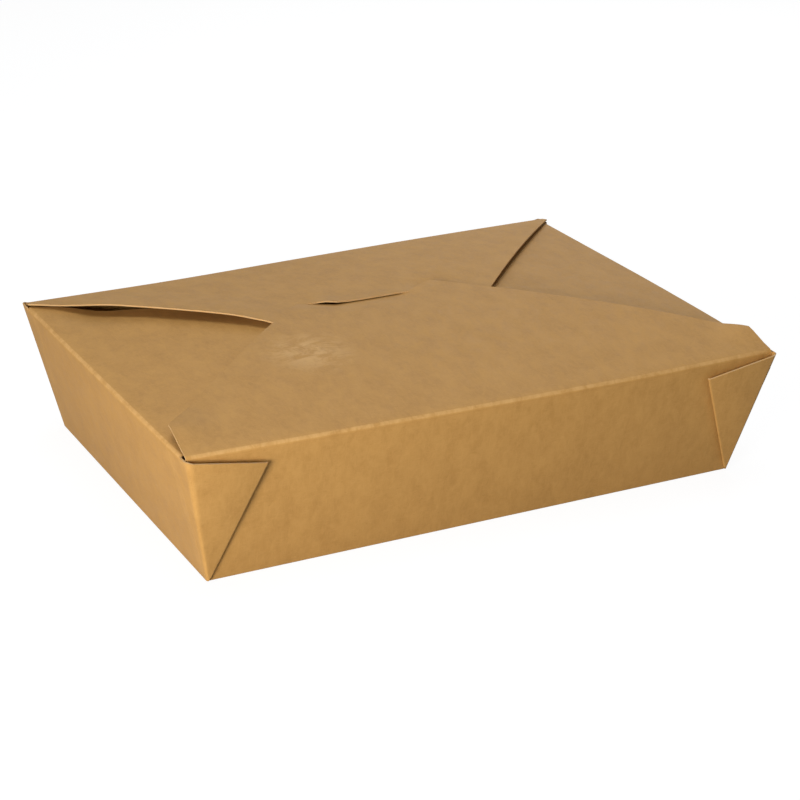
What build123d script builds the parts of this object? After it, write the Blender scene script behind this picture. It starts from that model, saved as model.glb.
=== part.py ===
from build123d import *
from math import asin, atan, atan2, cos, degrees, hypot, pi, sin, tan
import os

# A take-away food box folded from one sheet of kraft board, with its four-flap lid closed.
# X runs along the long walls, Y towards the back wall and Z up.
# The origin is the middle of the underside. All sizes are in millimetres.

# Board and creases
BOARD = 0.5             # thickness of the sheet
FOLD_RADIUS = 1.0       # outside radius of a pressed crease
LAYER_GAP = 0.3         # air between two flaps that lie on each other
HINGE_GAP = 0.1         # clearance across the crease that the front flap turns on
OVERRUN = 5.0           # how far trimming shapes reach past what they trim

# Tray
BASE_LENGTH = 196.0     # along X, at the underside
BASE_WIDTH = 139.5      # along Y, at the underside
RIM_HEIGHT = 47.0       # underside to the crease of the long walls
FLARE = 10.0            # how far each wall leans out between base and rim
CREASE_DROP = 1.6       # height of wall that is drawn together with a flap

# Corner webs, folded double and glued flat on the outside of the long walls
WEB_LAYERS = 2
WEB_FOLD_LENGTH = 46.0  # base corner to web tip, along the folded edge
WEB_ROUND = 0.8         # outside radius of the folded edge

# Lid
DOME_RISE = 6.8         # crown of the front flap above the rim
SIDE_RISE = 5.4         # crown that the side flaps curve towards, above their own crease
FLAP_ROUND = 4.0        # rounding of the flaps' free corners

# Side flaps, the lowest layer
SIDE_CREASE_INSET = 3.75  # rim corner to the end of the crease
SIDE_APART = 72.0         # between the free edges of the two side flaps
SIDE_END_LENGTH = 44.0    # length of a free edge

# Back flap, the middle layer
BACK_CREASE_INSET = 1.2   # rim corner to the end of the crease
BACK_EAR_INSET = 0.5      # rim corner to the side of the ear
BACK_EAR_DEPTH = 4.0      # crease to the blunt corner of the ear
BACK_PAST_MIDDLE = 10.25  # middle of the lid to the free edge
BACK_END_LENGTH = 62.0    # length of the free edge

# Front flap, the top layer, which opens first
FRONT_CREASE_INSET = 1.2
FRONT_EAR_INSET = 2.5
FRONT_EAR_DEPTH = 18.0
SHOULDER_LAP = 1.25       # how far the shoulders reach past the ends of the slit, each way

# Slit in the back flap, and the tongue that drops through it
SLIT_PAST_MIDDLE = 11.25  # middle of the lid to the straight part of the slit
SLIT_STRAIGHT = 29.0      # length of the straight part
SLIT_END_RUN = 10.5       # length of each slanted end along X
SLIT_END_OFFSET = 6.0     # how far the slanted ends lead towards the back
SLIT_PLAY = 0.25          # air on each face of the tongue
TONGUE_PLAY = 0.8         # air at each side of the tongue
TONGUE_DEPTH = 14.0       # crown of the lid to the end of the tongue
TONGUE_ROUND = 5.0        # rounding of the tongue's lower corners

# Worked out from the sizes above
lean = atan(FLARE / RIM_HEIGHT)
web_thickness = WEB_LAYERS * BOARD / cos(lean)
rim_half_x = BASE_LENGTH / 2 + FLARE
rim_half_y = BASE_WIDTH / 2 + FLARE
side_rim = RIM_HEIGHT - BOARD - LAYER_GAP
crease_foot = side_rim - CREASE_DROP
back_rise = DOME_RISE - BOARD - LAYER_GAP
crown = RIM_HEIGHT + DOME_RISE
lid_top = crown + OVERRUN
tongue_end = crown - TONGUE_DEPTH
tongue_half = SLIT_STRAIGHT / 2 - TONGUE_PLAY
slit_width = BOARD + 2 * SLIT_PLAY
slit_end_half = SLIT_STRAIGHT / 2 + SLIT_END_RUN
slit_end_y = SLIT_PAST_MIDDLE + SLIT_END_OFFSET


def outline(points):
    """Closed straight-sided face through the points."""
    return make_face(Polyline(*points, close=True))


def two_sided(half):
    """Face whose corners on one side are given, and on the other side are their mirror image."""
    return outline([*half, *[(-x, y) for x, y in reversed(half)]])


def round_corners(face, across, along, radius):
    """Rounds the two corners of a face that stand at this place, left and right."""
    corners = [face.vertices().sort_by_distance((x, along, 0))[0] for x in (across, -across)]
    return fillet(corners, radius)


def column(face, bottom):
    """Upright block over a face, which trims a curved sheet to its shape seen from above."""
    return Pos(0, 0, bottom) * extrude(face, lid_top - bottom)


def tapered_block(extra_y, inset, bottom, top, radius):
    """Block between the leaning walls, each moved in by inset, with rounded upright and lower edges."""
    def level(z):
        spread = z * tan(lean) - inset / cos(lean)
        size_x = BASE_LENGTH + 2 * spread
        size_y = BASE_WIDTH + 2 * spread + 2 * extra_y
        return Pos(0, 0, z) * Rectangle(size_x, size_y)

    block = loft([level(bottom), level(top)], ruled=True)
    upright = block.edges().filter_by(Plane.XY, reverse=True)
    return fillet(upright + block.edges().group_by(Axis.Z)[0], radius)


def corner_web():
    """Doubled web of the front left corner, laid out flat and then stood up against the long wall."""
    slant = hypot(RIM_HEIGHT, FLARE)
    wall_corner = pi / 2 + atan(FLARE / slant)
    # The web fills what two walls and the base leave of a full turn, and is folded in half.
    half_web = (2 * pi - pi / 2 - 2 * wall_corner) / 2
    fold = wall_corner - half_web
    tip = (WEB_FOLD_LENGTH * cos(fold), WEB_FOLD_LENGTH * sin(fold))
    past_corner = -FLARE - OVERRUN
    face = outline([(0, 0), tip, (-FLARE, slant), (past_corner, slant), (past_corner, 0)])
    web = extrude(face, WEB_LAYERS * BOARD)
    folded_edge = web.edges().group_by(Axis.Z)[-1].sort_by_distance((tip[0] / 2, tip[1] / 2, 0))[0]
    web = fillet(folded_edge, WEB_ROUND)
    web += extrude(face, -FOLD_RADIUS)
    base_corner = (-BASE_LENGTH / 2, -BASE_WIDTH / 2, 0)
    return Plane(origin=base_corner, x_dir=(1, 0, 0), z_dir=(0, -cos(lean), -sin(lean))) * web


def tray():
    """Base, four leaning walls and the four corner webs."""
    body = tapered_block(0, 0, 0, side_rim, FOLD_RADIUS)
    sleeve = tapered_block(web_thickness, 0, 0, side_rim, FOLD_RADIUS)
    web = corner_web() & sleeve
    front_webs = [web, mirror(web, Plane.YZ)]
    for one in front_webs + [mirror(front, Plane.XZ) for front in front_webs]:
        body += one
    return body - tapered_block(0, BOARD, BOARD, side_rim + OVERRUN, FOLD_RADIUS - BOARD)


def dome_radius(crease_half, rise):
    """Radius of the arc that starts at the crease and is level over the middle of the box."""
    return (crease_half ** 2 + rise ** 2) / (2 * rise)


def under_flap(crease_half, rim, rise, bottom, inset):
    """Section under a flap and inside its wall, both moved in by inset, for a wall on the right."""
    radius = dome_radius(crease_half, rise)
    dome = Pos(0, rim + rise - radius) * Circle(radius - inset)
    wall = crease_half - inset / cos(lean)
    foot = wall - (rim - bottom) * tan(lean)
    head = wall + (lid_top - rim) * tan(lean)
    inside = outline([(-crease_half, bottom), (foot, bottom), (head, lid_top), (-crease_half, lid_top)])
    return dome & inside


def sheet_section(under, corners):
    """Section of the sheet that covers a space, with its creases rounded to an even thickness."""
    outside, inside = under(0), under(BOARD)
    for corner in corners:
        outside = fillet(outside.vertices().sort_by_distance(corner)[0], FOLD_RADIUS)
        inside = fillet(inside.vertices().sort_by_distance(corner)[0], FOLD_RADIUS - BOARD)
    return outside - inside


def strip(section, half_length):
    """A section drawn out along its crease, for a flap on the back wall."""
    return extrude(Plane.YZ * section, half_length, both=True)


def simple_flap(crease_half, rim, rise, face):
    """Flap on the back wall with its crease and the top of the wall, trimmed to its outline."""
    def under(inset):
        return under_flap(crease_half, rim, rise, crease_foot, inset)

    return strip(sheet_section(under, [(crease_half, rim, 0)]), BASE_LENGTH) & column(face, crease_foot)


def side_flap_outline():
    """Drawn as if the side wall were the back wall."""
    crease_half, end_half, free_edge = rim_half_y - SIDE_CREASE_INSET, SIDE_END_LENGTH / 2, SIDE_APART / 2
    face = two_sided([(crease_half, rim_half_x + OVERRUN), (crease_half, rim_half_x - FOLD_RADIUS),
                      (end_half, free_edge)])
    return round_corners(face, end_half, free_edge, FLAP_ROUND)


def back_flap_outline():
    crease_half, end_half, free_edge = rim_half_x - BACK_CREASE_INSET, BACK_END_LENGTH / 2, -BACK_PAST_MIDDLE
    face = two_sided([(crease_half, rim_half_y + OVERRUN), (crease_half, rim_half_y),
                      (rim_half_x - BACK_EAR_INSET, rim_half_y - BACK_EAR_DEPTH), (end_half, free_edge)])
    return round_corners(face, end_half, free_edge, FLAP_ROUND)


def front_flap_outline():
    """Slanted edges from the ears to the shoulders, then along the slit's ends to the tongue."""
    crease_half = rim_half_x - FRONT_CREASE_INSET
    return two_sided([(crease_half, -rim_half_y - OVERRUN), (crease_half, -rim_half_y),
                      (rim_half_x - FRONT_EAR_INSET, FRONT_EAR_DEPTH - rim_half_y),
                      (slit_end_half + SHOULDER_LAP, slit_end_y + SHOULDER_LAP),
                      (tongue_half, SLIT_PAST_MIDDLE - slit_width / 2)])


def slit():
    """The slit in the back flap, as a chain of round-ended runs."""
    straight_end = (SLIT_STRAIGHT / 2, SLIT_PAST_MIDDLE)
    far_end = (slit_end_half, slit_end_y)
    path = [(-far_end[0], far_end[1]), (-straight_end[0], straight_end[1]), straight_end, far_end]
    cut = Sketch()
    for (x1, y1), (x2, y2) in zip(path, path[1:]):
        run = SlotCenterToCenter(hypot(x2 - x1, y2 - y1), slit_width)
        turn = degrees(atan2(y2 - y1, x2 - x1))
        cut += Pos((x1 + x2) / 2, (y1 + y2) / 2) * Rot(0, 0, turn) * run
    return column(cut, crease_foot)


def front_sheet():
    """Sheet from the top of the front wall over the crease and across the whole lid."""
    def under(inset):
        return under_flap(rim_half_y, RIM_HEIGHT, DOME_RISE, crease_foot, inset)

    return mirror(strip(sheet_section(under, [(rim_half_y, RIM_HEIGHT, 0)]), BASE_LENGTH), Plane.XZ)


def tongue_sheet():
    """Middle of the front flap, bent down into the slit along an arc about the flap's crease."""
    lid_at_slit = crown - SLIT_PAST_MIDDLE ** 2 / (2 * dome_radius(rim_half_y, DOME_RISE)) - BOARD
    swing = hypot(rim_half_y + SLIT_PAST_MIDDLE, lid_at_slit - RIM_HEIGHT)

    def under(inset):
        # Drawn for the back wall, so the tongue swings about the crease on the right.
        space = under_flap(rim_half_y, RIM_HEIGHT, DOME_RISE, tongue_end, inset)
        return space & Pos(rim_half_y, RIM_HEIGHT) * Circle(swing + BOARD / 2 - inset)

    section = sheet_section(under, [(-SLIT_PAST_MIDDLE, crown, 0)])
    return mirror(strip(section, tongue_half), Plane.XZ)


def flap_side(shift):
    """Block that fills the flap's side of the plane through the front crease, moved towards the flap."""
    slope = asin(rim_half_y / dome_radius(rim_half_y, DOME_RISE))
    halfway = (slope - pi / 2 + lean) / 2
    normal = Vector(0, -sin(halfway), cos(halfway))
    middle = Vector(0, -rim_half_y, RIM_HEIGHT) + normal * shift
    plane = Plane(origin=middle, x_dir=(1, 0, 0), z_dir=normal)
    return plane * extrude(Rectangle(2 * BASE_LENGTH, 2 * BASE_LENGTH), BASE_LENGTH)


def crease_band(crease_half, wall_half):
    """The stretch of the back wall's top that a flap's crease takes the place of."""
    return column(Pos(0, wall_half) * Rectangle(2 * crease_half, 2 * OVERRUN), crease_foot)


def folded_box():
    """The whole sheet but the front flap: tray, side flaps, back flap and the top of the front wall."""
    side_band = crease_band(rim_half_y - SIDE_CREASE_INSET, rim_half_x)
    side_flap = simple_flap(rim_half_x, side_rim, SIDE_RISE, side_flap_outline())
    back_band = crease_band(rim_half_x - BACK_CREASE_INSET, rim_half_y)
    back_flap = simple_flap(rim_half_y, RIM_HEIGHT, back_rise, back_flap_outline()) - slit()
    front_band = mirror(crease_band(rim_half_x - FRONT_CREASE_INSET, rim_half_y), Plane.XZ)
    front_top = (front_sheet() & front_band) - flap_side(-HINGE_GAP / 2)
    turns = [Rot(0, 0, -90), Rot(0, 0, 90)]
    box = tray() - [back_band, front_band] - [turn * side_band for turn in turns]
    return box + [back_flap, front_top] + [turn * side_flap for turn in turns]


def front_flap():
    """The flap that opens first, with its ears, shoulders and tongue."""
    bend = Pos(0, SLIT_PAST_MIDDLE) * Rectangle(2 * tongue_half, 2 * OVERRUN)
    flap = front_sheet() & flap_side(HINGE_GAP / 2) & column(front_flap_outline(), crease_foot)
    flap -= column(bend, tongue_end)
    flap += tongue_sheet() & column(bend, tongue_end)
    lower_corners = flap.edges().group_by(Axis.Z)[0].filter_by(Axis.Y)
    return fillet(lower_corners, TONGUE_ROUND)


def main():
    os.makedirs("parts", exist_ok=True)
    export_step(folded_box(), "parts/folded_box.step")
    export_step(front_flap(), "parts/front_flap.step")


main()
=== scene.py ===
"""A take-away food box folded from one sheet of kraft board, standing closed on a pale floor."""
import bmesh
import bpy
from math import acos, asin, atan, cos, hypot, inf, pi, radians, sin, sqrt, tan
from mathutils import Matrix, Vector


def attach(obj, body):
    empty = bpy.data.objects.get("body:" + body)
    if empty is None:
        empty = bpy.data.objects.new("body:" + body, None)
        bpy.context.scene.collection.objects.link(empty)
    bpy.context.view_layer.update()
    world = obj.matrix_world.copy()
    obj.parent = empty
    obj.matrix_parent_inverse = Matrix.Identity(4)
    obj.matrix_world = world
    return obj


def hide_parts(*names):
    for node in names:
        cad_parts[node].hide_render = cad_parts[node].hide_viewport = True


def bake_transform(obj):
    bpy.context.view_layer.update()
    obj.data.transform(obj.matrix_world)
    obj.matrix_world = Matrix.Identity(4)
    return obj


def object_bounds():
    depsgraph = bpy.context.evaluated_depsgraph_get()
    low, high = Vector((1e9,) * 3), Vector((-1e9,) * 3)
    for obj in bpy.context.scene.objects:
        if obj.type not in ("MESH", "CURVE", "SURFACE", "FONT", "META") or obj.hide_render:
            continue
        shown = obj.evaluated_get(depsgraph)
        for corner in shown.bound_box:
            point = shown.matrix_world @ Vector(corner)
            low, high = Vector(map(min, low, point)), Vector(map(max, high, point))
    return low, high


bl_info = {
    "name": "Folded kraft food box",
    "version": (1, 0, 0),
    "blender": (4, 5, 0),
    "location": "3D View > Sidebar > Food box",
    "description": "Folds a kraft board food box with a locking flap lid around its packed frame",
    "category": "Object",
}

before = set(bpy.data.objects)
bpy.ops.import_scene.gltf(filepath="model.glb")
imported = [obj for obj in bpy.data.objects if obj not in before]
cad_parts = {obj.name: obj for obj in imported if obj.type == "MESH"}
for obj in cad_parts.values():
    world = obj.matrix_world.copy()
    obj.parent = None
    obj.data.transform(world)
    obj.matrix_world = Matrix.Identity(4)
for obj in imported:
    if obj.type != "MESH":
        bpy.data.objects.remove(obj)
CAD_BOX = [list(corner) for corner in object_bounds()]
UP = Vector((0, 0, 1))
LEFT, RIGHT = Vector((-1, 0, 0)), Vector((1, 0, 0))
FRONT, BACK = Vector((0, -1, 0)), Vector((0, 1, 0))
MILLIMETRES = 1000  # in a metre

# Faces counted along each bend: a crease's roll, a rounded corner, the base's crease and the domed flaps
ROLL_STEPS, ROUND_STEPS, BASE_STEPS = 6, 5, 3
SIDE_STEPS, BACK_STEPS, FRONT_STEPS = 18, 26, 30

# How closely places on a mesh are told apart, in metres
CUT_PLAY, LEVEL_PLAY, MERGED, TINY, SLIGHT, BESIDE = 1e-7, 1e-6, 2e-6, 1e-5, 1e-4, 2e-4

# Part of a face's normal that lies the way the face looks, at least
FACING, FACING_AS_WALL, FACING_UP = 0.9, 0.97, 0.05

# Shares that set a limit a little past a length, a little short of it, or past the area of a web
JUST_OVER, JUST_UNDER, OVER_A_WEB = 1.2, 0.98, 1.5


def size(default, name, description):
    return bpy.props.FloatProperty(name=name, description=description, default=default,
                                   unit="LENGTH", subtype="DISTANCE", precision=5)


def angle(default, name, description):
    return bpy.props.FloatProperty(name=name, description=description, default=radians(default),
                                   unit="ROTATION", subtype="ANGLE")


def watts(default, name, description):
    return bpy.props.FloatProperty(name=name, description=description, default=default, min=0,
                                   unit="POWER")


def share(default, name, description):
    return bpy.props.FloatProperty(name=name, description=description, default=default, min=0,
                                   soft_max=1, subtype="FACTOR")


def colour(default, name, description):
    return bpy.props.FloatVectorProperty(name=name, description=description, default=default, size=3,
                                         min=0, max=1, subtype="COLOR")


class BoardSizes(bpy.types.PropertyGroup):
    """Sizes of the board and its creases"""
    board: size(0.0005, "Board", "Thickness of the sheet")
    crease: size(0.0016, "Rim crease", "Outside radius of the creases at the rim")
    corner_foot: size(0.001, "Corner crease, foot", "What an upright crease takes off a wall at its foot")
    corner_top: size(0.0023, "Corner crease, top", "What an upright crease takes off a wall at the rim")
    base_crease: size(0.0006, "Base crease", "How far the creases round the base are rounded off")
    grid: size(0.005, "Grid", "Width of the columns that a flap's surface is divided into")


class TraySizes(bpy.types.PropertyGroup):
    """Sizes of the tray"""
    length: size(0.196, "Length", "Length of the base")
    width: size(0.139, "Width", "Width of the base between the long walls")
    rim: size(0.047, "Rim", "Height of the long walls' creases")
    side_rim: size(0.0462, "Side rim", "Height of the short walls' creases")
    flare: size(0.01, "Flare", "How far each wall leans out at the rim")
    web_depth: size(0.00112, "Web depth", "How far a doubled web stands out from the long wall")
    web_fold: size(0.046, "Web fold", "Length of a web's folded edge")
    web_lift: size(0.0018, "Web lift", "How much further a web stands out at the rim than at the base")
    ply_drop: size(0.002, "Ply drop", "How far the inner ply of a web ends below the outer one")
    ply_gap: size(0.00002, "Ply gap", "Gap between the inner ply of a web and the long wall, at its foot")
    tuck: size(0.0006, "Tuck", "How far the long walls' top corners are tucked in behind the webs")


class LidSizes(bpy.types.PropertyGroup):
    """Sizes of the four flaps"""
    front_rise: size(0.0068, "Front rise", "Crown of the front flap above the rim")
    back_rise: size(0.006, "Back rise", "Crown of the back flap above the rim")
    side_rise: size(0.0054, "Side rise", "Crown that the side flaps curve towards, above their crease")
    side_inset: size(0.00375, "Side crease inset", "Rim corner to the end of a side flap's crease")
    side_apart: size(0.072, "Side flaps apart", "Between the free edges of the side flaps")
    side_end: size(0.044, "Side flap end", "Length of a side flap's free edge")
    side_start: size(0.001, "Side edge start", "Rim to the start of a side flap's slanted edges")
    long_inset: size(0.0012, "Long crease inset", "Rim corner to the end of a long crease")
    back_ear: size(0.0005, "Back ear", "Rim corner to the side of a back ear")
    back_past: size(0.01025, "Back flap end", "How far the back flap reaches past the middle of the lid")
    back_end: size(0.062, "Back flap end length", "Length of the back flap's free edge")
    back_start: size(0.004, "Back edge start", "Rim to the start of the back flap's slanted edges")
    ear_start: size(0.0012, "Ear start", "Front rim to the foot of the front flap's ears")
    left_ear: size(0.0025, "Left ear", "Rim corner to the side of the front flap's left ear")
    left_ear_depth: size(0.018, "Left ear depth", "Crease to the blunt corner of the left ear")
    left_ear_curl: size(0.0014, "Left ear curl", "How far the left ear's blunt corner curls up")
    right_ear: size(0.001, "Right ear", "Rim corner to the side of the front flap's right ear")
    right_ear_depth: size(0.014, "Right ear depth", "Crease to the blunt corner of the right ear")
    right_ear_curl: size(0.0014, "Right ear curl", "How far the right ear's blunt corner curls up")
    shoulder: size(0.0012, "Shoulder", "How far the front flap's slanted edges run on past the slit's ends")
    end_under: size(0.0004, "End under the lip", "How far the front flap's end reaches in under the far lip")
    flap_foot: size(0.0446, "Flap foot", "Height at which the front flap's piece takes over from the wall")
    slit_past: size(0.01125, "Slit place", "Middle of the lid to the straight part of the slit")
    slit_straight: size(0.029, "Slit length", "Length of the straight part of the slit")
    slit_run: size(0.0105, "Slit end", "Length of a slanted end of the slit along the box")
    slit_offset: size(0.006, "Slit end offset", "How far a slanted end leads towards the back")
    slit_width: size(0.0009, "Slit width", "Opening of the slit")
    tongue_half: size(0.0137, "Tongue half width", "Half the width of the tongue")
    tongue_depth: size(0.0125, "Tongue depth", "How far the tongue reaches down through the slit")
    rounding: size(0.004, "Flap corners", "Rounding of the flaps' free corners")
    side_sag: size(0.0019, "Side flap sag", "How far the left side flap sags under the back flap's edge")
    edge_bow: size(0.0014, "Edge bow", "How far the back flap's left edge bows up")
    hook_lift: size(0.0006, "Slit hook", "How much further the far lip is lifted at the slit's left end")
    lip_lift: size(0.0006, "Far lip", "How far the slit's far lip is lifted")
    lip_press: size(0.0016, "Near lip", "How far the slit's near lip is pressed down")
    dive: size(0.00105, "Dive", "How far the front flap's end dips into the slit")


class BoardLooks(bpy.types.PropertyGroup):
    """Colours of the board"""
    kraft: colour((0.49, 0.262, 0.073), "Kraft", "Colour of the board's face")
    # Also the colour of the painted shade on the upright creases.
    dark: colour((0.4, 0.207, 0.054), "Dark kraft", "Colour of the darker fibre clouds")
    pale: colour((0.585, 0.33, 0.105), "Pale kraft", "Colour of the paler fibres and streaks")
    cut: colour((0.52, 0.36, 0.2), "Cut edge", "Colour of the raw cut edge")
    # Also the colour of the rim creases' wear and painted highlight.
    rubbed: colour((0.66, 0.4, 0.16), "Rubbed board", "Colour of the rubbed place and of worn creases")
    roughness: share(0.68, "Roughness", "Roughness of the board's face")
    clouds: share(0.72, "Clouds", "How much the broad fibre clouds darken the board")
    streaks: share(0.42, "Streaks", "How much the streaks along the grain lighten the board")
    fibres: share(0.45, "Fibres", "How much the single fibres lighten the board")
    flecks: share(0.4, "Flecks", "How dark the small flecks are")
    # Painted shade: how far the upright creases, which the lamps light brightest, are darkened.
    pressed: share(0.95, "Pressed corners", "How much darker the pressed upright creases are")
    # How much paler the rim creases are made: partly real wear, partly a painted highlight.
    worn: share(0.6, "Worn creases", "How much paler the creases are worn")
    rub_x: size(-0.043, "Rubbed place, X", "Middle of the rubbed place on the front flap, along X")
    rub_y: size(-0.027, "Rubbed place, Y", "Middle of the rubbed place on the front flap, along Y")
    rub_width: size(0.018, "Rubbed width", "Half the width of the rubbed place")
    rub_depth: size(0.019, "Rubbed depth", "Half the depth of the rubbed place")


class StageLooks(bpy.types.PropertyGroup):
    """Camera and light"""
    azimuth: angle(-26.682, "Azimuth", "Where the camera stands, turned from straight in front")
    elevation: angle(22.227, "Elevation", "Height of the camera as an angle")
    roll: angle(0.147, "Roll", "Turn of the camera about its own view")
    distance: size(0.7731, "Distance", "Camera to the origin along the view")
    aside: size(0.00443, "Aside", "Camera moved sideways in its own frame")
    above: size(0.01722, "Above", "Camera moved up in its own frame")
    lens: bpy.props.FloatProperty(name="Lens", description="Focal length in millimetres", default=96.58)
    floor: colour((0.4, 0.4, 0.4), "Floor", "Colour of the floor")
    sky: share(0.16, "Sky", "Strength of the even light from all round")
    key: watts(5.2, "Key light", "Power of the low lamp at the front left")
    overhead: watts(2.6, "Overhead light", "Power of the lamp above the box")
    behind: watts(1.3, "Back light", "Power of the lamp behind the box")


# Modelling aids

def edit():
    bpy.ops.object.mode_set(mode="EDIT")


def finish_edit():
    bpy.ops.object.mode_set(mode="OBJECT")


def middle(part):
    """Middle of a vertex, edge or face."""
    points = [part] if isinstance(part, bmesh.types.BMVert) else part.verts
    return sum((point.co for point in points), Vector()) / len(points)


def choose(kind, wanted):
    """Selects the shown vertices, edges or faces that pass the test."""
    bpy.ops.mesh.select_mode(type=kind)
    bpy.ops.mesh.select_all(action="DESELECT")
    mesh = bmesh.from_edit_mesh(bpy.context.object.data)
    for part in {"VERT": mesh.verts, "EDGE": mesh.edges, "FACE": mesh.faces}[kind]:
        if not part.hide and wanted(part):
            part.select_set(True)
    bmesh.update_edit_mesh(bpy.context.object.data)


def cut(wanted, place, normal, clear=True):
    """Cuts the chosen faces along a plane, and drops the side that the normal points to."""
    choose("FACE", wanted)
    bpy.ops.mesh.bisect(plane_co=place, plane_no=normal, use_fill=False, clear_outer=clear,
                        threshold=CUT_PLAY)


def delete_faces(wanted):
    choose("FACE", wanted)
    bpy.ops.mesh.delete(type="FACE")


def turn(steps, by, centre, axis):
    """Draws the chosen edge round an axis, right-handed."""
    bpy.ops.mesh.spin(steps=steps, angle=-by, center=centre, axis=axis)


def draw_out(by):
    bpy.ops.mesh.extrude_edges_move(TRANSFORM_OT_translate={"value": by})


def push(wanted, by, reach):
    """Moves the chosen vertices, and what the surface joins to them nearby by less and less."""
    choose("VERT", wanted)
    bpy.ops.transform.translate(value=by, use_proportional_edit=True, proportional_size=reach,
                                proportional_edit_falloff="SMOOTH", use_proportional_connected=True)


def apply(piece, name, kind, **settings):
    """Adds a modifier with these settings and applies it."""
    modifier = piece.modifiers.new(name, kind)
    for setting, value in settings.items():
        setattr(modifier, setting, value)
    bpy.ops.object.modifier_apply(modifier=modifier.name)


def lean():
    """Angle by which the walls lean out."""
    tray = bpy.context.scene.tray_sizes
    return atan(tray.flare / tray.rim)


def half_x():
    """Half the length of the box at its rim."""
    tray = bpy.context.scene.tray_sizes
    return tray.length / 2 + tray.flare


def half_y():
    """Half the width of the box at its rim."""
    tray = bpy.context.scene.tray_sizes
    return tray.width / 2 + tray.flare


def wall_half(height):
    """Half the width between the long walls at a height."""
    return bpy.context.scene.tray_sizes.width / 2 + height * tan(lean())


class Fold:
    """Where a wall turns over its crease into a domed flap, seen along the crease."""

    def __init__(self, half, rim, rise):
        roll = bpy.context.scene.board_sizes.crease
        self.radius = (half ** 2 + rise ** 2) / (2 * rise)
        self.dome = Vector((0, rim + rise - self.radius))
        inwards, down = Vector((-cos(lean()), sin(lean()))), Vector((-sin(lean()), -cos(lean())))
        corner = Vector((half, rim))
        start = corner + inwards * roll - self.dome
        along = start.dot(down)
        drop = -along - sqrt(along ** 2 - start.length_squared + (self.radius - roll) ** 2)
        self.foot = corner + down * drop
        self.centre = self.foot + inwards * roll
        out = (self.centre - self.dome).normalized()
        self.top = self.dome + out * self.radius
        self.roll_angle = acos(max(-1, min(1, out.dot(-inwards))))

    def dome_angle(self, end):
        """Turn of the dome from the crease to where the flap ends, short of or past the middle."""
        return asin(self.top.x / self.radius) - asin(end / self.radius)


def raise_flap(fold, outwards, end, dome_steps):
    """Turns the chosen top edge of a wall over its crease and along the dome."""
    axis = outwards.cross(UP)
    turn(ROLL_STEPS, fold.roll_angle, outwards * fold.centre.x + UP * fold.centre.y, axis)
    turn(dome_steps, fold.dome_angle(end), outwards * fold.dome.x + UP * fold.dome.y, axis)


def is_flap(face):
    """Faces of the flap that is being made, while the finished ones are hidden."""
    return face.normal.z > FACING_UP and middle(face).z > bpy.context.scene.lid_sizes.flap_foot


def columns(outwards, reach):
    """Divides a flap and its wall into columns."""
    axis, step = outwards.cross(UP), bpy.context.scene.board_sizes.grid
    count = int(reach / step)
    foot = bpy.context.scene.lid_sizes.flap_foot
    wanted = lambda face: (is_flap(face) or is_wall(face, outwards)
                           or face.normal.dot(outwards) > FACING and middle(face).z > foot)
    for index in range(-count, count + 1):
        cut(wanted, axis * step * index, axis, clear=False)


def is_wall(face, outwards):
    """Faces in the outer plane of the wall on this side."""
    tray, place = bpy.context.scene.tray_sizes, middle(face)
    base_half = (tray.length if outwards.x else tray.width) / 2
    stands_out = place.dot(outwards) - base_half - place.z * tan(lean())
    return face.normal.dot(outwards) > FACING_AS_WALL and abs(stands_out) < TINY


def trim(first, second, mirrored=False):
    """Cuts a flap upright along a line, and drops what is right of it, or left of it if mirrored."""
    (x1, y1), (x2, y2) = (second, first) if mirrored else (first, second)
    cut(is_flap, (x1, y1, 0), (y2 - y1, x1 - x2, 0))


def new_cube(name):
    tray = bpy.context.scene.tray_sizes
    bpy.ops.object.select_all(action="DESELECT")
    bpy.ops.mesh.primitive_cube_add(size=1, location=(0, 0, tray.rim / 2),
                                    scale=(tray.length, tray.width, tray.rim))
    piece = bpy.context.object
    piece.name = name
    bpy.ops.object.transform_apply(location=True, rotation=True, scale=True)
    return piece


# The folded sheet

def base_and_walls():
    """Flares the cube's walls, takes its top off, and parts the walls at the corners."""
    tray, board = bpy.context.scene.tray_sizes, bpy.context.scene.board_sizes
    choose("FACE", lambda face: face.normal.z > FACING)
    bpy.ops.transform.resize(value=(half_x() * 2 / tray.length, half_y() * 2 / tray.width, 1),
                             center_override=(0, 0, tray.rim))
    choose("FACE", lambda face: face.normal.z > FACING)
    bpy.ops.mesh.delete(type="ONLY_FACE")
    cut(lambda face: True, UP * tray.side_rim, UP)
    choose("EDGE", lambda edge: max(vert.co.z for vert in edge.verts) < board.base_crease)
    bpy.ops.mesh.bevel(offset=board.base_crease, segments=BASE_STEPS, affect="EDGES")
    choose("EDGE", is_upright)
    bpy.ops.mesh.edge_split(type="EDGE")


def is_upright(edge):
    low, high = sorted(vert.co.z for vert in edge.verts)
    return high - low > bpy.context.scene.tray_sizes.rim / 2


def past_wall(place):
    """How far a place stands out from the long walls' outer face, measured along Y."""
    return abs(place.y) - wall_half(place.z)


def is_side_edge(edge, side):
    """Upright raw edge of a short wall at this corner."""
    return (is_upright(edge) and edge.is_boundary and abs(edge.link_faces[0].normal.x) > FACING
            and middle(edge).x * side[0] > 0 and middle(edge).y * side[1] > 0)


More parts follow.
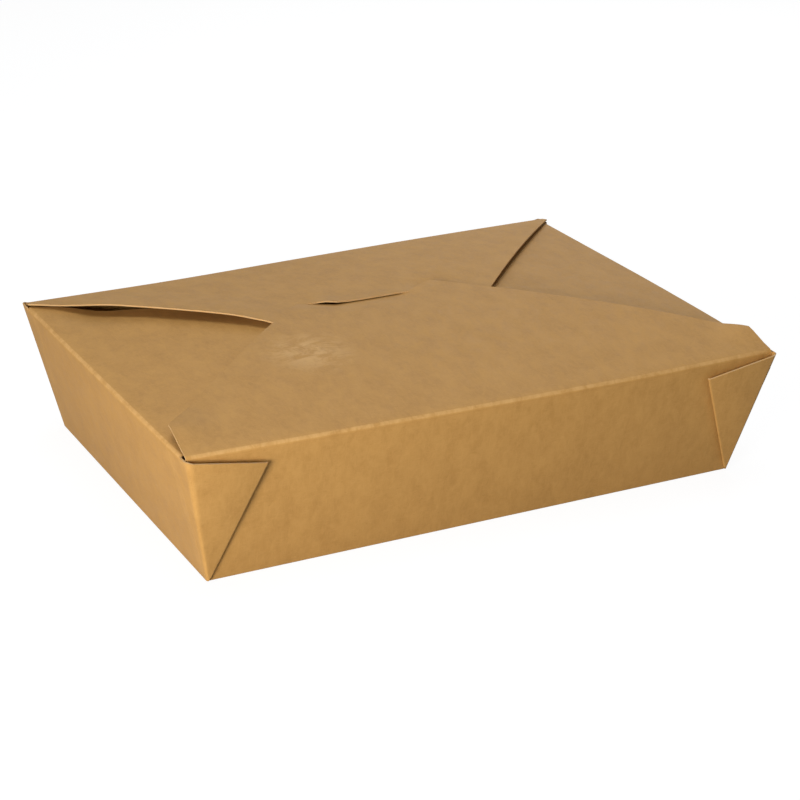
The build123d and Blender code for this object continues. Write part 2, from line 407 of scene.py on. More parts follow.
def corner_web(side):
    """Draws a short wall on round the corner, and folds its web back on itself in front of the long wall."""
    tray, board = bpy.context.scene.tray_sizes, bpy.context.scene.board_sizes
    inwards_x, out_y = Vector((-side[0], 0, 0)), Vector((0, side[1], 0))
    web_lean = atan((tray.flare + tray.web_lift) / tray.rim)
    slope = Vector((0, side[1] * sin(web_lean), cos(web_lean)))
    outward = Vector((0, side[1] * cos(web_lean), -sin(web_lean)))
    depth = tray.web_depth / cos(lean())
    corner = Vector((side[0] * tray.length / 2, side[1] * (tray.width / 2 + depth), 0))

    # The rule of folding: the web fills what two walls and the base leave of a full turn, halved.
    slant = hypot(tray.rim, tray.flare)
    wall_corner = pi / 2 + atan(tray.flare / slant)
    half_web = (2 * pi - pi / 2 - 2 * wall_corner) / 2
    fold = wall_corner - half_web
    fold_line = inwards_x * cos(fold) + slope * sin(fold)
    to_middle = inwards_x * sin(fold) - slope * cos(fold)
    tip = corner + fold_line * tray.web_fold
    rise = Vector((side[0] * tray.flare, side[1] * (tray.flare + tray.web_lift), tray.rim))
    rim_corner = corner + rise * (tray.side_rim / tray.rim)
    top_line = (rim_corner - tip).normalized()
    upwards = (slope - top_line * slope.dot(top_line)).normalized()

    here = lambda part: middle(part).x * side[0] > 0 and middle(part).y * side[1] > 0
    choose("EDGE", lambda edge: is_side_edge(edge, side))
    draw_out(out_y * depth)
    choose("VERT", lambda vert: past_wall(vert.co) > depth / 2 and here(vert) and vert.co.z > tray.rim / 2)
    bpy.ops.transform.translate(value=out_y * tray.web_lift * (tray.side_rim / tray.rim))
    choose("EDGE", lambda edge: is_side_edge(edge, side))
    draw_out(inwards_x * tray.web_fold)
    choose("EDGE", lambda edge: is_upright(edge) and not edge.is_boundary and here(edge)
           and all(abs(face.normal.x) > FACING for face in edge.link_faces))
    bpy.ops.mesh.dissolve_edges(use_verts=False)
    choose("EDGE", lambda edge: is_upright(edge) and not edge.is_boundary and here(edge)
           and past_wall(middle(edge)) > depth / 2)
    bpy.ops.mesh.bevel(offset=board.corner_foot, segments=ROUND_STEPS, affect="EDGES")
    choose("VERT", lambda vert: here(vert) and (vert.co - rim_corner).length < board.corner_foot * JUST_OVER)
    bpy.ops.transform.resize(value=[board.corner_top / board.corner_foot] * 3, center_override=rim_corner)

    wall_area = tray.rim * tray.web_fold * OVER_A_WEB
    web = lambda face: (here(face) and middle(face).z > board.base_crease and face.calc_area() < wall_area)
    cut(web, corner, to_middle)
    cut(web, tip, upwards)

    choose("EDGE", lambda edge: edge.is_boundary and here(edge) and not is_level(edge)
           and all(abs((vert.co - corner).dot(to_middle)) < TINY for vert in edge.verts))
    bend = 1 if fold_line.cross(outward).dot(to_middle) > 0 else -1
    turn(ROLL_STEPS, bend * pi, corner - outward * (tray.web_depth - tray.ply_gap) / 2, fold_line)
    choose("EDGE", lambda edge: edge.is_boundary and here(edge) and edge.calc_length() > tray.web_fold / 2
           and abs((middle(edge) - corner).dot(to_middle)) < TINY)
    draw_out(-to_middle * tray.web_fold / 2)
    cut(web, tip, upwards)
    inner = lambda face: here(face) and face.normal.dot(outward) < -FACING
    side_normal = Vector((side[0] * cos(lean()), 0, -sin(lean())))
    cut(inner, corner - side_normal * board.board * JUST_OVER, side_normal)
    cut(inner, tip - upwards * tray.ply_drop, upwards, clear=False)
    delete_faces(lambda face: inner(face) and (middle(face) - tip).dot(upwards) > -tray.ply_drop)


def is_level(edge):
    first, second = (vert.co for vert in edge.verts)
    return abs(first.z - second.z) < LEVEL_PLAY


def open_rim(outwards, half, foot):
    """Takes the top off a wall over the length of its crease, and chooses the edge left there."""
    along = outwards.cross(UP)
    wall = lambda face: is_wall(face, outwards)
    above = lambda face: wall(face) and middle(face).z > foot
    cut(wall, UP * foot, UP, clear=False)
    for end in (-1, 1):
        cut(above, along * half * end, along, clear=False)
    delete_faces(lambda face: above(face) and abs(middle(face).dot(along)) < half)
    choose("EDGE", lambda edge: edge.is_boundary and is_level(edge) and abs(middle(edge).z - foot) < TINY
           and abs(middle(edge).dot(along)) < half and wall(edge.link_faces[0]))


def round_tips(places, radius):
    """Rounds a flap's raw corners that stand at these places."""
    level = bpy.context.scene.tray_sizes.side_rim
    for x, y in places:
        choose("VERT", lambda vert: vert.is_boundary and vert.co.z > level
               and hypot(vert.co.x - x, vert.co.y - y) < BESIDE)
        bpy.ops.mesh.bevel(offset=radius, segments=ROUND_STEPS, affect="VERTICES")


def hide_flap():
    """Keeps the later flaps' cuts off this one."""
    choose("FACE", is_flap)
    bpy.ops.mesh.hide(unselected=False)


def raw_edge(across, along, level):
    """Picks vertices of a raw edge between two places along X and along Y, and above a level."""
    (left, right), (front, back) = across, along
    return lambda vert: (vert.is_boundary and vert.co.z > level
                         and left < vert.co.x < right and front < vert.co.y < back)


# Stretches of raw edge that have moved: from left to right, from front to back, and the level they are above
SAGGING = (-0.083, -0.045), (0.02, inf), 0.047
BOWED = (-inf, -0.045), (0.015, 0.048), 0.0475

# How far from a pushed edge the board still gives way, in metres
SAG_REACH, BOW_REACH, LIFT_REACH, PRESS_REACH, DIVE_REACH = 0.021, 0.028, 0.009, 0.011, 0.009


def side_flap(outwards):
    tray, lid = bpy.context.scene.tray_sizes, bpy.context.scene.lid_sizes
    fold = Fold(half_x() - (tray.rim - tray.side_rim) * tan(lean()), tray.side_rim, lid.side_rise)
    half, way = half_y() - lid.side_inset, outwards.x
    open_rim(outwards, half, fold.foot.y)
    raise_flap(fold, outwards, lid.side_apart / 2, SIDE_STEPS)
    start, end = way * (half_x() - lid.side_start), way * lid.side_apart / 2
    for turned in (1, -1):
        trim((start, turned * half), (end, turned * lid.side_end / 2), mirrored=turned * way < 0)
    round_tips([(end, lid.side_end / 2), (end, -lid.side_end / 2)], lid.rounding)
    columns(outwards, half)
    if outwards == LEFT:
        push(raw_edge(*SAGGING), (0, 0, -lid.side_sag), SAG_REACH)
    hide_flap()


def back_flap():
    tray, lid = bpy.context.scene.tray_sizes, bpy.context.scene.lid_sizes
    fold = Fold(half_y(), tray.rim, lid.back_rise)
    half, ear, end = half_x() - lid.long_inset, half_x() - lid.back_ear, lid.back_end / 2
    open_rim(BACK, half, fold.foot.y)
    raise_flap(fold, BACK, -lid.back_past, BACK_STEPS)
    choose("VERT", lambda vert: abs(vert.co.x) > half - TINY and vert.co.y < fold.top.x - SLIGHT
           and vert.co.z > tray.rim)
    bpy.ops.transform.resize(value=(ear / half, 1, 1), center_override=(0, 0, 0))
    for way in (1, -1):
        trim((way * end, -lid.back_past), (way * ear, half_y() - lid.back_start), mirrored=way < 0)
    round_tips([(end, -lid.back_past), (-end, -lid.back_past)], lid.rounding)
    slit()
    columns(BACK, half)
    hide_flap()


def slit_path():
    lid = bpy.context.scene.lid_sizes
    straight, past = lid.slit_straight / 2, lid.slit_past
    far, back = straight + lid.slit_run, lid.slit_past + lid.slit_offset
    return [Vector((-far, back)), Vector((-straight, past)), Vector((straight, past)), Vector((far, back))]


def from_slit(place, path=None):
    """Distance from the slit's middle line in plan, and the side of it: behind is positive."""
    path, here = path or slit_path(), Vector((place[0], place[1]))
    best = None
    for first, second in zip(path, path[1:]):
        along = second - first
        part = max(0, min(1, (here - first).dot(along) / along.length_squared))
        offset = here - first - along * part
        if best is None or offset.length < abs(best):
            behind = along.x * offset.y - along.y * offset.x
            best = offset.length if behind > 0 else -offset.length
    return best


SLIT_WITHIN = 0.03  # no part of the slit is further back than this, in metres


def slit():
    """Cuts the slit with its slanted ends into the back flap."""
    lid = bpy.context.scene.lid_sizes
    path, half = slit_path(), lid.slit_width / 2
    near = lambda face: is_flap(face) and 0 < middle(face).y < SLIT_WITHIN
    for point in path:
        cut(near, (point.x, point.y, 0), RIGHT, clear=False)
    for first, second in zip(path, path[1:]):
        along = (second - first).normalized()
        across = Vector((-along.y, along.x, 0))
        run = lambda face: near(face) and first.x < middle(face).x < second.x
        for offset in (-half, half):
            cut(run, Vector((first.x, first.y, 0)) + across * offset, across, clear=False)
    delete_faces(lambda face: near(face) and path[0].x < middle(face).x < path[-1].x
                 and abs(from_slit(middle(face))) < half * JUST_UNDER)


LID_LEVEL = 0.05  # the lid is above this wherever the slit runs, in metres
LIFTED_TO, HOOKED_TO = 0.012, -0.017  # right ends of the far lip's lifted stretch and of its hook, along X


def settle_back_flap():
    """Lifts the slit's far lip, presses its near lip down, and bows the back flap's left edge up."""
    lid = bpy.context.scene.lid_sizes
    lip = lambda vert: (vert.is_boundary and vert.co.z > LID_LEVEL
                        and abs(from_slit(vert.co)) < lid.slit_width)
    far_lip = lambda vert: lip(vert) and from_slit(vert.co) > 0
    near_lip = lambda vert: lip(vert) and from_slit(vert.co) < 0
    push(lambda vert: far_lip(vert) and vert.co.x < LIFTED_TO, (0, 0, lid.lip_lift), LIFT_REACH)
    push(lambda vert: far_lip(vert) and vert.co.x < HOOKED_TO, (0, 0, lid.hook_lift), LIFT_REACH)
    push(raw_edge(*BOWED), (0, 0, lid.edge_bow), BOW_REACH)
    push(near_lip, (0, 0, -lid.lip_press), PRESS_REACH)


# How far the top of the folded box has risen, in millimetres: from left to right in each row, front row first
SETTLED = (
    (1.2, 0.3, -0.5, -1.0, -0.3),
    (0.8, 0.6, 0.1, 0.0, 1.2),
    (0.5, 1.0, 0.4, 0.8, 2.0),
    (0.2, 0.6, 0.9, 1.6, 2.3),
    (0.2, 0.1, 1.2, 2.1, 2.4))

# How much further the top of the right wall leans out, in millimetres, from front to back
SPLAYED = (0.7, 0.7, 0.9, 1.0, 1.3)


def settle(piece):
    """Gives the piece the slight twist and unevenness that the folded box has settled into."""
    low, high = (Vector(corner) for corner in CAD_BOX)
    bpy.ops.object.add(type="LATTICE", location=(low + high) / 2)
    cage = bpy.context.object
    cage.scale = high - low
    data = cage.data
    rows, columns_across = len(SETTLED), len(SETTLED[0])
    data.points_u, data.points_v, data.points_w = columns_across, rows, 2
    data.interpolation_type_u = data.interpolation_type_v = "KEY_CATMULL_ROM"
    data.interpolation_type_w = "KEY_LINEAR"
    top = list(data.points)[rows * columns_across:]
    for row, (rises, splay) in enumerate(zip(SETTLED, SPLAYED)):
        points = top[row * columns_across:(row + 1) * columns_across]
        for point, rise in zip(points, rises):
            point.co_deform.z += rise / MILLIMETRES / cage.scale.z
        points[-1].co_deform.x += splay / MILLIMETRES / cage.scale.x
    bpy.ops.object.select_all(action="DESELECT")
    piece.select_set(True)
    bpy.context.view_layer.objects.active = piece
    bpy.context.view_layer.update()
    apply(piece, "Settled", "LATTICE", object=cage)
    bpy.data.objects.remove(cage)


CUT_EDGE_SLOT = 1  # material slot of the raw cut edges
SMOOTH_UP_TO = radians(32)  # edges that turn less than this are shaded smooth

# Turns between the faces of a rounded crease: from the first it starts to show, and past the second it's
# full:
# worn paler with a painted highlight on the rim, darkened by painted shade at the upright corners. Past the
# third, the edge is a sharp one.
CREASE_FROM, CREASE_FULL, SHARP = radians(6), radians(14), radians(35)

# How far up the faces of an upright crease look at most, and those of a rim crease at least and at most
UPRIGHT_MOST, RIM_LEAST, RIM_MOST = 0.15, 0.4, 0.93


def finish_board(piece):
    """Gives the folded sheet its thickness inwards, with the raw cut edges in a finish of their own."""
    board = bpy.context.scene.board_sizes
    apply(piece, "Board", "SOLIDIFY", thickness=board.board, offset=-1, use_even_offset=True,
          use_quality_normals=True, material_offset_rim=CUT_EDGE_SLOT)
    bpy.ops.object.shade_smooth_by_angle(angle=SMOOTH_UP_TO)
    mark_creases(piece)


def mark_creases(piece):
    """Marks the narrow faces that turn round a crease, above 0 round the rim (paler wear with a painted
    highlight) and below 0 at the corners (painted shade).
    """
    mesh = bmesh.new()
    mesh.from_mesh(piece.data)
    marks = []
    for face in mesh.faces:
        turns = sorted((edge.calc_face_angle(0) for edge in face.edges), reverse=True)
        rounded = turns[1] if turns[0] < SHARP else 0
        mark = min(1, max(0, (rounded - CREASE_FROM) / (CREASE_FULL - CREASE_FROM)))
        if face.normal.z < UPRIGHT_MOST:
            mark = -mark
        elif not RIM_LEAST < face.normal.z < RIM_MOST:
            mark = 0
        marks.append(mark)
    mesh.free()
    piece.data.attributes.new("crease", "FLOAT", "FACE").data.foreach_set("value", marks)


RIM_CORNER = 0.001  # the long walls' top corners are nearer than this to the short walls' rim, in metres


def tuck_wall_corners():
    """Draws the long walls' top corners in, so that they stay behind the webs."""
    tray = bpy.context.scene.tray_sizes
    choose("VERT", lambda vert: vert.co.z > tray.side_rim - TINY and abs(vert.co.x) > half_x() - RIM_CORNER
           and abs(past_wall(vert.co)) < TINY
           and all(abs(face.normal.y) > FACING for face in vert.link_faces))
    bpy.ops.transform.resize(value=(1 - tray.tuck / half_x(), 1, 1), center_override=(0, 0, 0))


class OBJECT_OT_folded_sheet(bpy.types.Operator):
    """Fold the tray, its corner webs, the side flaps and the back flap from one sheet"""
    bl_idname = "object.folded_sheet"
    bl_label = "Fold the box"

    def execute(self, context):
        lid = context.scene.lid_sizes
        piece = new_cube("folded_sheet")
        edit()
        base_and_walls()
        for side in ((-1, -1), (1, -1), (-1, 1), (1, 1)):
            corner_web(side)
        tuck_wall_corners()
        bpy.ops.mesh.select_all(action="SELECT")
        bpy.ops.mesh.remove_doubles(threshold=MERGED)
        bpy.ops.mesh.delete_loose(use_verts=True, use_edges=True, use_faces=False)
        side_flap(LEFT)
        side_flap(RIGHT)
        back_flap()
        open_rim(FRONT, half_x() - lid.long_inset, lid.flap_foot)
        columns(FRONT, half_x() - lid.long_inset)
        bpy.ops.mesh.reveal(select=False)
        settle_back_flap()
        finish_edit()
        settle(piece)
        for material in (kraft_material("kraft_face"), edge_material()):
            piece.data.materials.append(material)
        finish_board(piece)
        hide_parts("folded_box")
        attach(piece, "box")
        return {"FINISHED"}


# The front flap

SPARE = 0.002  # length that the flap is drawn out past its end before it's trimmed, in metres
PAST_MIDDLE = 0.005  # the flap's end with its tongue lies further back than this, in metres
TIPS_BELOW = 0.004  # the tongue's free corners are further below the rim than this, in metres

# Where an ear's blunt corner is looked for: inwards from the rim and along it. The last is what stays flat
# beside the crease when the corner curls up.
EAR_INWARDS, EAR_ALONG, EAR_FLAT = 0.004, 0.0015, 0.002


class OBJECT_OT_front_flap(bpy.types.Operator):
    """Make the front flap with its crease, ears and tongue"""
    bl_idname = "object.front_flap"
    bl_label = "Make the front flap"

    def execute(self, context):
        tray, lid = context.scene.tray_sizes, context.scene.lid_sizes
        fold = Fold(half_y(), tray.rim, lid.front_rise)
        half = half_x() - lid.long_inset
        piece = wall_top_strip("front_flap_sheet", half, lid.flap_foot, fold.foot.y)
        edit()
        choose("EDGE", lambda edge: is_level(edge) and middle(edge).z > fold.foot.y - TINY)
        raise_flap(fold, FRONT, -(lid.slit_past + lid.slit_offset + SPARE), FRONT_STEPS)
        flap_end()
        columns(FRONT, half)
        tongue()
        push(lambda vert: vert.co.y > PAST_MIDDLE and from_slit(vert.co) > 0 and vert.co.x < lid.tongue_half,
             (0, 0, -lid.dive), DIVE_REACH)
        curl_ears()
        finish_edit()
        settle(piece)
        for material in (kraft_material("front_flap_face", rubbed=True), edge_material()):
            piece.data.materials.append(material)
        finish_board(piece)
        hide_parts("front_flap")
        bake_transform(piece)
        return {"FINISHED"}


def wall_top_strip(name, half, bottom, top):
    """Strip of the front wall's outer face, from which the front flap is drawn over."""
    bpy.ops.object.select_all(action="DESELECT")
    level = (bottom + top) / 2
    bpy.ops.mesh.primitive_plane_add(size=1, rotation=(pi / 2, 0, 0), location=(0, -wall_half(level), level))
    piece = bpy.context.object
    piece.name = name
    piece.scale = (half * 2, top - bottom, 1)
    bpy.ops.object.transform_apply(location=True, rotation=True, scale=True)
    edit()
    for above, height in ((True, top), (False, bottom)):
        choose("VERT", lambda vert: (vert.co.z > level) == above)
        bpy.ops.transform.translate(value=(0, wall_half(level) - wall_half(height), 0))
    finish_edit()
    return piece


def flap_end():
    """Trims the front flap to its ears and slanted edges, and its end to the slit."""
    lid = bpy.context.scene.lid_sizes
    path, foot = slit_path(), half_x() - lid.long_inset + TINY
    shoulder = path[-1] + Vector((lid.shoulder, lid.shoulder))
    for way, inset, depth in ((1, lid.right_ear, lid.right_ear_depth),
                              (-1, lid.left_ear, lid.left_ear_depth)):
        points = [(way * foot, lid.ear_start - half_y()), (way * (half_x() - inset), depth - half_y()),
                  (way * shoulder.x, shoulder.y)]
        for first, second in zip(points, points[1:]):
            trim(first, second, mirrored=way < 0)
    under = lid.slit_width / 2 + lid.end_under
    past = lambda face: is_flap(face) and middle(face).y > 0
    for x in (path[0].x, path[1].x, -lid.tongue_half, lid.tongue_half, path[-2].x, path[-1].x):
        cut(past, (x, 0, 0), RIGHT, clear=False)
    ends = [path[0] * 2 - path[1], *path[1:-1], path[-1] * 2 - path[-2]]
    for first, second in zip(ends, ends[1:]):
        along = (second - first).normalized()
        across = Vector((-along.y, along.x, 0))
        run = lambda face: past(face) and first.x < middle(face).x < second.x
        cut(run, Vector((second.x, second.y, 0)) + across * under, across, clear=False)
    delete_faces(lambda face: past(face) and from_slit(middle(face), ends) > under)


def tongue():
    """Bends the tongue down through the slit, along an arc about the flap's crease."""
    tray, lid = bpy.context.scene.tray_sizes, bpy.context.scene.lid_sizes
    choose("EDGE", lambda edge: edge.is_boundary and is_level(edge) and middle(edge).y > PAST_MIDDLE
           and abs(middle(edge).x) < lid.tongue_half)
    turn(ROLL_STEPS, -lid.tongue_depth / (half_y() + lid.slit_past), (0, -half_y(), tray.rim), RIGHT)
    choose("VERT", lambda vert: vert.is_boundary and len(vert.link_edges) == 2
           and vert.co.z < tray.rim - TIPS_BELOW)
    bpy.ops.mesh.bevel(offset=lid.rounding, segments=ROUND_STEPS, affect="VERTICES")


def curl_ears():
    """Curls up the blunt corners of the two ears."""
    lid = bpy.context.scene.lid_sizes
    for way, depth, curl in ((-1, lid.left_ear_depth, lid.left_ear_curl),
                             (1, lid.right_ear_depth, lid.right_ear_curl)):
        push(lambda vert: vert.is_boundary and vert.co.x * way > half_x() - EAR_INWARDS
             and abs(vert.co.y + half_y() - depth) < EAR_ALONG, (0, 0, curl), depth - EAR_FLAT)


# Finishes

# Noises of the board: how many grains to the metre along X, Y and Z, and how they are turned and broken up
CLOUDS = dict(scale=(150, 90, 90), detail=3, roughness=0.55)
STREAKS = dict(scale=(430, 240, 240), turned=0.12, detail=4, roughness=0.6, distortion=0.8)
LONG_FIBRES = dict(scale=(2600, 420, 420), turned=0.25, detail=5, roughness=0.6, distortion=0.6)
CROSS_FIBRES = dict(scale=(520, 2100, 2100), turned=0.5, detail=4, roughness=0.6, distortion=0.8)
FLECKS = dict(scale=(900, 1500, 1500), turned=-0.4, detail=2, roughness=0.5)
TOOTH = dict(scale=(4200, 4200, 4200), detail=3, roughness=0.6)
SCUFFS = dict(scale=(110, 150, 150), turned=0.3, detail=5, roughness=0.7, distortion=0.5)
LAYERS = dict(scale=(900, 900, 5200), detail=3, roughness=0.6)

FIBRE_HEIGHT, TOOTH_HEIGHT = 0.6, 0.5  # parts of the fibres and of the tooth in the board's relief
SMOOTHER, ROUGHER = 0.05, 0.07  # how far the streaks vary the board's roughness down and up
MOST_RUBBED = 0.9  # how far the rubbed place takes on its colour at most

MIX_AMOUNT, MIX_FIRST, MIX_SECOND, MIX_RESULT = 0, 6, 7, 2  # sockets of a Mix node for colours


def new_material(name):
    """A material, its node tree and its shader."""
    material = bpy.data.materials.new(name)
    material.use_nodes = True
    return material, material.node_tree, material.node_tree.nodes["Principled BSDF"]


def node(tree, kind, inputs=None, **settings):
    """A node with its settings, and its inputs set or linked."""
    made = tree.nodes.new(kind)
    for name, value in settings.items():
        setattr(made, name, value)
    for name, value in (inputs or {}).items():
        if isinstance(value, bpy.types.NodeSocket):
            tree.links.new(value, made.inputs[name])
        else:
            made.inputs[name].default_value = value
    return made


def object_place(tree):
    return node(tree, "ShaderNodeTexCoord").outputs["Object"]


def maths(tree, operation, *values, clamp=False):
    made = node(tree, "ShaderNodeMath", dict(enumerate(values)), operation=operation, use_clamp=clamp)
    return made.outputs[0]


def blend_colours(tree, amount, first, second):
    sockets = {MIX_AMOUNT: amount, MIX_FIRST: first, MIX_SECOND: second}
    return node(tree, "ShaderNodeMix", sockets, data_type="RGBA").outputs[MIX_RESULT]


def stretched_noise(tree, place, scale, detail, roughness, turned=0, distortion=0):
    """Noise with as many grains to the metre along each axis as the scale says."""
    laid = node(tree, "ShaderNodeMapping", {"Vector": place, "Rotation": (0, 0, turned), "Scale": scale})
    return node(tree, "ShaderNodeTexNoise", {"Vector": laid.outputs[0], "Scale": 1.0, "Detail": detail,
                                             "Roughness": roughness, "Distortion": distortion}).outputs[0]


def between(tree, value, low, high):
    """0 at low, 1 at high and evenly graded from one to the other, whichever of them is larger."""
    return node(tree, "ShaderNodeMapRange", {"Value": value, "From Min": low, "From Max": high}).outputs[0]


def new_group(name, inputs, outputs):
    """An empty node group with these sockets, and its two ends."""
    tree = bpy.data.node_groups.new(name, "ShaderNodeTree")
    for way, sockets in (("INPUT", inputs), ("OUTPUT", outputs)):
        for socket, kind in sockets.items():
            tree.interface.new_socket(socket, in_out=way, socket_type="NodeSocket" + kind)
    return tree, tree.nodes.new("NodeGroupInput").outputs, tree.nodes.new("NodeGroupOutput").inputs


def pulp_group():
    """Clouds, fibres and flecks of the unbleached pulp, over object coordinates."""
    found = bpy.data.node_groups.get("kraft_pulp")
    if found:
        return found
    tree, given, out = new_group("kraft_pulp", {"Place": "Vector"}, {
        "Clouds": "Float", "Streaks": "Float", "Fibres": "Float", "Flecks": "Float", "Height": "Float"})
    place = given["Place"]
    clouds = between(tree, stretched_noise(tree, place, **CLOUDS), low=0.35, high=0.65)
    streaks = between(tree, stretched_noise(tree, place, **STREAKS), low=0.35, high=0.68)
    long_fibres = stretched_noise(tree, place, **LONG_FIBRES)
    cross_fibres = stretched_noise(tree, place, **CROSS_FIBRES)
    fibres = between(tree, maths(tree, "MAXIMUM", long_fibres, cross_fibres), low=0.45, high=0.75)
    flecks = between(tree, stretched_noise(tree, place, **FLECKS), low=0.66, high=0.74)
    tooth = stretched_noise(tree, place, **TOOTH)
    height = maths(tree, "ADD", maths(tree, "MULTIPLY", fibres, FIBRE_HEIGHT),
                   maths(tree, "MULTIPLY", tooth, TOOTH_HEIGHT))
    for socket, value in (("Clouds", clouds), ("Streaks", streaks), ("Fibres", fibres), ("Flecks", flecks),
                          ("Height", height)):
        tree.links.new(value, out[socket])
    return tree


def pulp(tree, place):
    made = tree.nodes.new("ShaderNodeGroup")
    made.node_tree = pulp_group()
    tree.links.new(place, made.inputs["Place"])
    return made.outputs


def kraft_material(name, rubbed=False):
    """The board's face: unbleached kraft, smooth and nearly matt."""
    looks = bpy.context.scene.board_looks
    material, tree, shader = new_material(name)
    place = object_place(tree)
    grain = pulp(tree, place)
    kraft, dark, pale = ((*tint, 1) for tint in (looks.kraft, looks.dark, looks.pale))
    tint = blend_colours(tree, maths(tree, "MULTIPLY", grain["Clouds"], looks.clouds), kraft, dark)
    tint = blend_colours(tree, maths(tree, "MULTIPLY", grain["Streaks"], looks.streaks), tint, pale)
    tint = blend_colours(tree, maths(tree, "MULTIPLY", grain["Fibres"], looks.fibres), tint, pale)
    tint = blend_colours(tree, maths(tree, "MULTIPLY", grain["Flecks"], looks.flecks), tint, dark)
    crease = node(tree, "ShaderNodeAttribute", attribute_name="crease").outputs["Fac"]
    # Rim creases turn paler: partly real wear, partly a painted highlight.
    broken = between(tree, grain["Streaks"], low=-0.2, high=0.9)
    worn = maths(tree, "MULTIPLY", maths(tree, "MULTIPLY", crease, broken), looks.worn, clamp=True)
    tint = blend_colours(tree, worn, tint, (*looks.rubbed, 1))
    # Painted shade: the upright creases, which the lamps light brightest, are darkened towards the dark
    # kraft.
    tint = blend_colours(tree, maths(tree, "MULTIPLY", crease, -looks.pressed, clamp=True), tint, dark)
    if rubbed:
        tint = blend_colours(tree, rubbed_patch(tree, place), tint, (*looks.rubbed, 1))
    tree.links.new(tint, shader.inputs["Base Color"])
    rough = node(tree, "ShaderNodeMapRange", {"Value": grain["Streaks"],
                                              "To Min": looks.roughness - SMOOTHER,
                                              "To Max": looks.roughness + ROUGHER})
    tree.links.new(rough.outputs[0], shader.inputs["Roughness"])
    shader.inputs["Specular IOR Level"].default_value = 0.22
    bump = node(tree, "ShaderNodeBump", {"Height": grain["Height"], "Strength": 0.25, "Distance": 0.00012})
    tree.links.new(bump.outputs[0], shader.inputs["Normal"])
    return material


def rubbed_patch(tree, place):
    """Broken pale place on the front flap where the surface has been rubbed."""
    looks = bpy.context.scene.board_looks
    spread = Vector((1 / looks.rub_width, 1 / looks.rub_depth, 0))
    centre = Vector((-looks.rub_x * spread.x, -looks.rub_y * spread.y, 0))
    offset = node(tree, "ShaderNodeMapping", {"Vector": place, "Location": centre, "Scale": spread})
    reach = node(tree, "ShaderNodeVectorMath", {0: offset.outputs[0]}, operation="LENGTH").outputs["Value"]
    patch = between(tree, reach, low=1, high=0.2)
    broken = between(tree, stretched_noise(tree, place, **SCUFFS), low=0.42, high=0.58)
    return maths(tree, "MULTIPLY", maths(tree, "MULTIPLY", patch, broken), MOST_RUBBED)


def edge_material():
    """Raw cut edge, paler than the face and layered along the sheet."""
    looks = bpy.context.scene.board_looks
    found = bpy.data.materials.get("cut_edge")
    if found:
        return found
    material, tree, shader = new_material("cut_edge")
    layers = between(tree, stretched_noise(tree, object_place(tree), **LAYERS), low=0.3, high=0.7)
    tint = blend_colours(tree, layers, (*looks.cut, 1), (*looks.pale, 1))
    tree.links.new(tint, shader.inputs["Base Color"])
    shader.inputs["Roughness"].default_value = 0.85
    shader.inputs["Specular IOR Level"].default_value = 0.2
    bump = node(tree, "ShaderNodeBump", {"Height": layers, "Strength": 0.4, "Distance": 0.0001})
    tree.links.new(bump.outputs[0], shader.inputs["Normal"])
    return material


# Stage

SENSOR_WIDTH = 36  # of the camera, in millimetres
NEAREST = 0.01  # distance from which the camera shows things, in metres
FLOOR_WIDTH, FLOOR_DROP = 12, 0.0001  # width of the floor, and how far it lies below the box, in metres
FLOOR_WHITE, FLOOR_GLOW = 0.88, 1.06  # how much of the floor's look is plain white, and how bright that is
LIT_PLACE = Vector((0, 0, 0.03))  # what every lamp is aimed at
WARM, COOL = (1, 0.97, 0.92), (1, 1.03, 1.1)


def place_camera(looks):
    """Stands the camera where the fitted view has it."""
    across = Vector((cos(looks.azimuth), sin(looks.azimuth), 0))
    back = Vector((sin(looks.azimuth) * cos(looks.elevation), -cos(looks.azimuth) * cos(looks.elevation),
                   sin(looks.elevation)))
    upright = back.cross(across)
    right = across * cos(looks.roll) + upright * sin(looks.roll)
    up = upright * cos(looks.roll) - across * sin(looks.roll)
    data = bpy.data.cameras.new("photo_view")
    data.lens, data.sensor_width, data.clip_start = looks.lens, SENSOR_WIDTH, NEAREST
    camera = bpy.data.objects.new("photo_view", data)
    bpy.context.scene.collection.objects.link(camera)
    camera.matrix_world = Matrix((right, up, back)).transposed().to_4x4()
    camera.location = back * looks.distance + right * looks.aside + up * looks.above
    bpy.context.scene.camera = camera


def soft_light(name, place, width, power, tint):
    """A round lamp aimed at the box."""
    data = bpy.data.lights.new(name, "AREA")
    data.shape, data.size, data.energy, data.color = "DISK", width, power, tint
    lamp = bpy.data.objects.new(name, data)
    bpy.context.scene.collection.objects.link(lamp)
    lamp.location = place
    lamp.rotation_euler = (LIT_PLACE - Vector(place)).to_track_quat("-Z", "Y").to_euler()


def seen_plainly(tree):
    """1 where the surroundings are seen, also reflected or through glass, and 0 where they only light."""
    path = tree.nodes.new("ShaderNodeLightPath").outputs
    either = maths(tree, "ADD", path["Is Camera Ray"], path["Is Glossy Ray"], clamp=True)
    return maths(tree, "ADD", either, path["Is Transmission Ray"], clamp=True)


def white_sky(looks):
    """Surroundings that are seen plain white, and light the box by less."""
    world = bpy.data.worlds.new("white_room")
    bpy.context.scene.world = world
    world.use_nodes = True
    nodes, links = world.node_tree.nodes, world.node_tree.links
    strength = nodes.new("ShaderNodeMix")
    strength.inputs["A"].default_value, strength.inputs["B"].default_value = looks.sky, 1
    links.new(seen_plainly(world.node_tree), strength.inputs["Factor"])
    background = nodes["Background"]
    background.inputs["Color"].default_value = (1, 1, 1, 1)
    links.new(strength.outputs["Result"], background.inputs["Strength"])


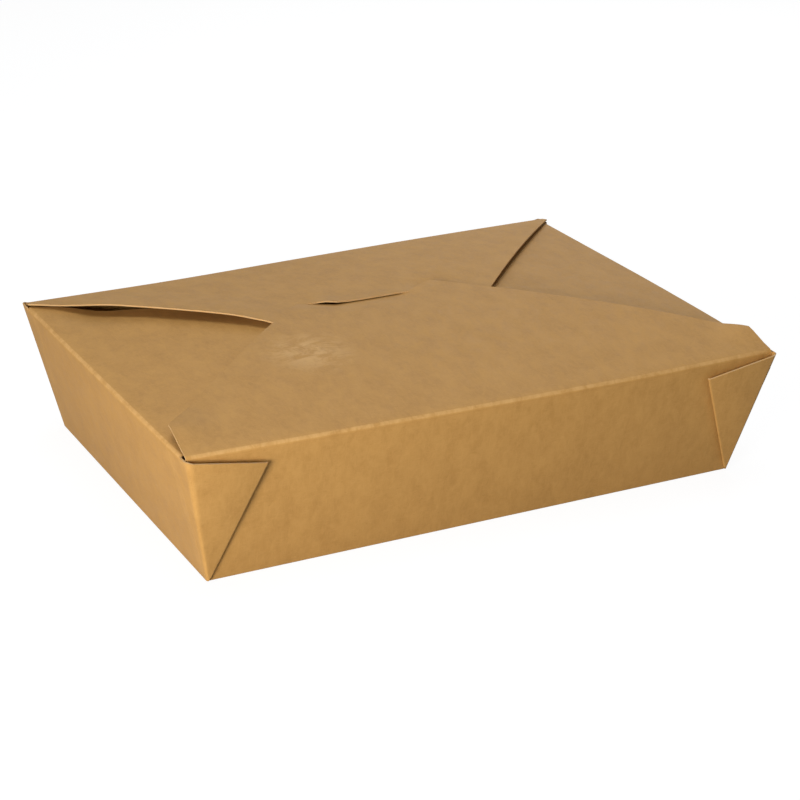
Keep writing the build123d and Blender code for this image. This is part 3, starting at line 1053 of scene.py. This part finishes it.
def pale_floor(looks):
    """Floor that is seen nearly white, with a faint shadow, and lights the box by less."""
    bpy.ops.object.select_all(action="DESELECT")
    bpy.ops.mesh.primitive_plane_add(size=FLOOR_WIDTH, location=(0, 0, -FLOOR_DROP))
    floor = bpy.context.object
    floor.name = "floor"
    material, tree, shader = new_material("floor")
    shown = seen_plainly(tree)
    tint = blend_colours(tree, shown, (*looks.floor, 1), (1, 1, 1, 1))
    tree.links.new(tint, shader.inputs["Base Color"])
    shader.inputs["Roughness"].default_value = 1
    shader.inputs["Specular IOR Level"].default_value = 0
    glow = node(tree, "ShaderNodeEmission", {"Strength": FLOOR_GLOW})
    mixed = node(tree, "ShaderNodeMixShader", {0: maths(tree, "MULTIPLY", shown, FLOOR_WHITE),
                                               1: shader.outputs[0], 2: glow.outputs[0]})
    tree.links.new(mixed.outputs[0], tree.nodes["Material Output"].inputs["Surface"])
    floor.data.materials.append(material)


class OBJECT_OT_food_box_stage(bpy.types.Operator):
    """Set up the floor, the light and the camera"""
    bl_idname = "object.food_box_stage"
    bl_label = "Set the stage"

    def execute(self, context):
        looks = context.scene.stage_looks
        context.scene.view_settings.view_transform = "Standard"
        pale_floor(looks)
        white_sky(looks)
        soft_light("key", place=(-0.53, -0.47, 0.16), width=0.26, power=looks.key, tint=WARM)
        soft_light("overhead", place=(0, 0.05, 0.9), width=0.6, power=looks.overhead, tint=COOL)
        soft_light("back", place=(0.45, 0.55, 0.48), width=0.5, power=looks.behind, tint=COOL)
        place_camera(looks)
        return {"FINISHED"}


# Add-on

class VIEW3D_PT_food_box(bpy.types.Panel):
    """Sizes, colours and steps of the food box"""
    bl_label = "Food box"
    bl_space_type = "VIEW_3D"
    bl_region_type = "UI"
    bl_category = "Food box"

    def draw(self, context):
        for name in GROUPS:
            group = getattr(context.scene, name)
            box = self.layout.box()
            for prop in group.bl_rna.properties:
                if prop.identifier in group.__annotations__:
                    box.prop(group, prop.identifier)
        for step in STEPS:
            self.layout.operator(step.bl_idname)


GROUPS = {"board_sizes": BoardSizes, "tray_sizes": TraySizes, "lid_sizes": LidSizes,
          "board_looks": BoardLooks, "stage_looks": StageLooks}
STEPS = (OBJECT_OT_folded_sheet, OBJECT_OT_front_flap, OBJECT_OT_food_box_stage)


def register():
    for kind in (*GROUPS.values(), *STEPS, VIEW3D_PT_food_box):
        bpy.utils.register_class(kind)
    for name, kind in GROUPS.items():
        setattr(bpy.types.Scene, name, bpy.props.PointerProperty(type=kind))


def unregister():
    for name in GROUPS:
        delattr(bpy.types.Scene, name)
    for kind in (VIEW3D_PT_food_box, *STEPS, *GROUPS.values()):
        bpy.utils.unregister_class(kind)


def main():
    register()
    bpy.ops.object.folded_sheet()
    bpy.ops.object.front_flap()
    bpy.ops.object.food_box_stage()


if __name__ == "__main__":
    main()
